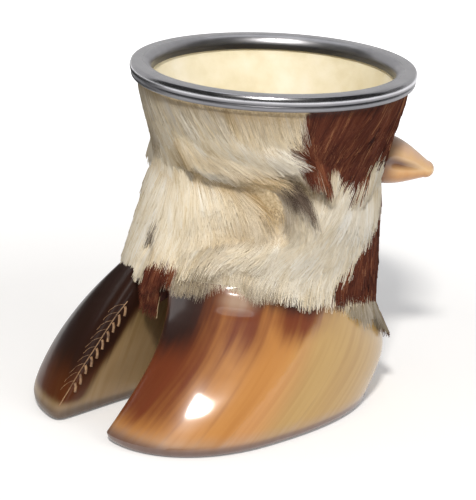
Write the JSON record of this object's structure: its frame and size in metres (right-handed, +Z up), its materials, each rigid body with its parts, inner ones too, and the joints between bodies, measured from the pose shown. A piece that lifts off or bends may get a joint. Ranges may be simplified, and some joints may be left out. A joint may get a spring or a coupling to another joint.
{
  "type": "hoof mate cup",
  "caption": "Drinking cup made from a cow's foot: polished horn claws as feet, a hair-on hide sleeve, a gourd liner and a spun metal rim.",
  "frame": {"origin": "middle of the footprint on the table, under the soles", "axes": "+Z up along the cup's axis, toes towards -Y, right claw towards +X"},
  "size_m": [0.096, 0.12, 0.108],
  "materials": {
    "rim_metal": "spun and polished",
    "bedding": "set compound",
    "gourd": "smooth dry gourd",
    "packing": "pressed packing",
    "hide": "hair-on, cream with red-brown patches",
    "amber_horn": "polished horn, streaked",
    "dark_horn": "polished dark horn with an engraved sprig",
    "core": "cast filler",
    "dewclaw_horn": "polished pale horn"
  },
  "bodies": {
    "root": {"rim": "rim_metal", "rim_bedding": "bedding", "liner": "gourd", "packing": "packing", "hide_sleeve": "hide", "cleft_skin": "hide", "right_claw": "amber_horn", "left_claw": "dark_horn", "right_claw_core": "core", "left_claw_core": "core", "right_dewclaw": "dewclaw_horn", "left_dewclaw": "dewclaw_horn", "right_dewclaw_core": "core", "left_dewclaw_core": "core"}
  },
  "joints": []
}
